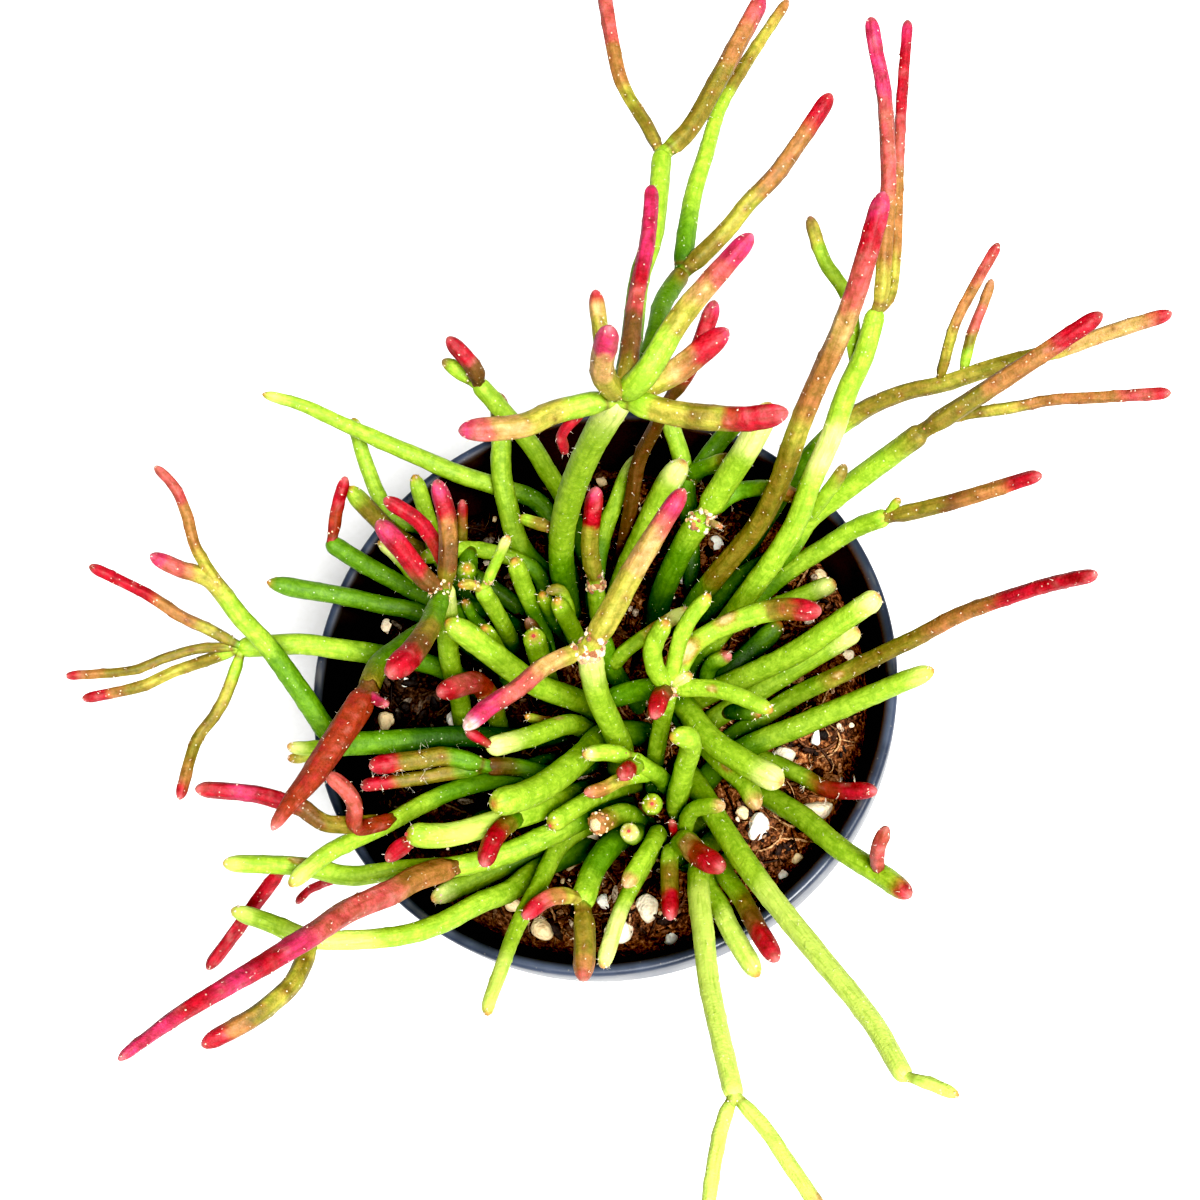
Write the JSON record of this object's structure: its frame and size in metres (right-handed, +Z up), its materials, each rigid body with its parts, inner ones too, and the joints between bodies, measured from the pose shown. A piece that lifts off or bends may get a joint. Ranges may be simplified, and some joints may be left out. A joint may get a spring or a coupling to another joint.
{
  "type": "potted plant",
  "caption": "Mistletoe cactus in a small round nursery pot: a clump of thin, branching, leafless green and red stems that lean out over the rim.",
  "frame": {"origin": "centre of the pot's flat base, on the surface that it stands on", "axes": "+Z up along the pot's axis, +Y towards the back and +X to the right, seen from the front"},
  "size_m": [0.181, 0.1931, 0.17],
  "materials": {
    "pot": "satin moulded polypropylene, nearly black",
    "soil": "moist brown coir and peat fibre with white perlite",
    "stems": "waxy succulent skin, lime green to deep green, flushed olive, orange and crimson at the ends"
  },
  "bodies": {
    "root": {"pot": "pot", "soil": "soil", "back_crown": "stems", "back_woody": "stems", "back_upright": "stems", "back_left_forked": "stems", "left_back_long": "stems", "left_back_pair": "stems", "left_back_red": "stems", "left_plain": "stems", "left_inner_fingers": "stems", "left_inner_low": "stems", "left_inner_fork": "stems", "left_pillar": "stems", "left_blob": "stems", "middle_left_stub": "stems", "middle_left_long": "stems", "middle_stubs": "stems", "middle_fingers": "stems", "middle_back": "stems", "middle_pink_fork": "stems", "middle_pale": "stems", "middle_thick": "stems", "middle_knot": "stems", "middle_bent": "stems", "middle_fork": "stems", "right_upper": "stems", "right_lower": "stems", "right_long": "stems", "right_front": "stems", "right_hairy": "stems", "right_bud": "stems", "front_right_pair": "stems", "right_back_pair": "stems", "right_back_red": "stems", "right_back_long": "stems", "back_right_tall": "stems", "back_right_red": "stems", "back_right_jointed": "stems", "back_right_green": "stems", "back_lime": "stems", "back_finger_pair": "stems", "left_long": "stems", "left_raised": "stems", "left_crimson": "stems", "left_low_forked": "stems", "left_frizzy": "stems", "left_front_long": "stems", "left_front_pale": "stems", "left_front_bow": "stems", "front_left_dot": "stems", "front_left_pale": "stems", "front_left_forked": "stems", "front_thin_pair": "stems", "front_red_pair": "stems", "front_right_lime_pair": "stems", "front_forked": "stems", "front_right_long": "stems"}
  },
  "joints": []
}
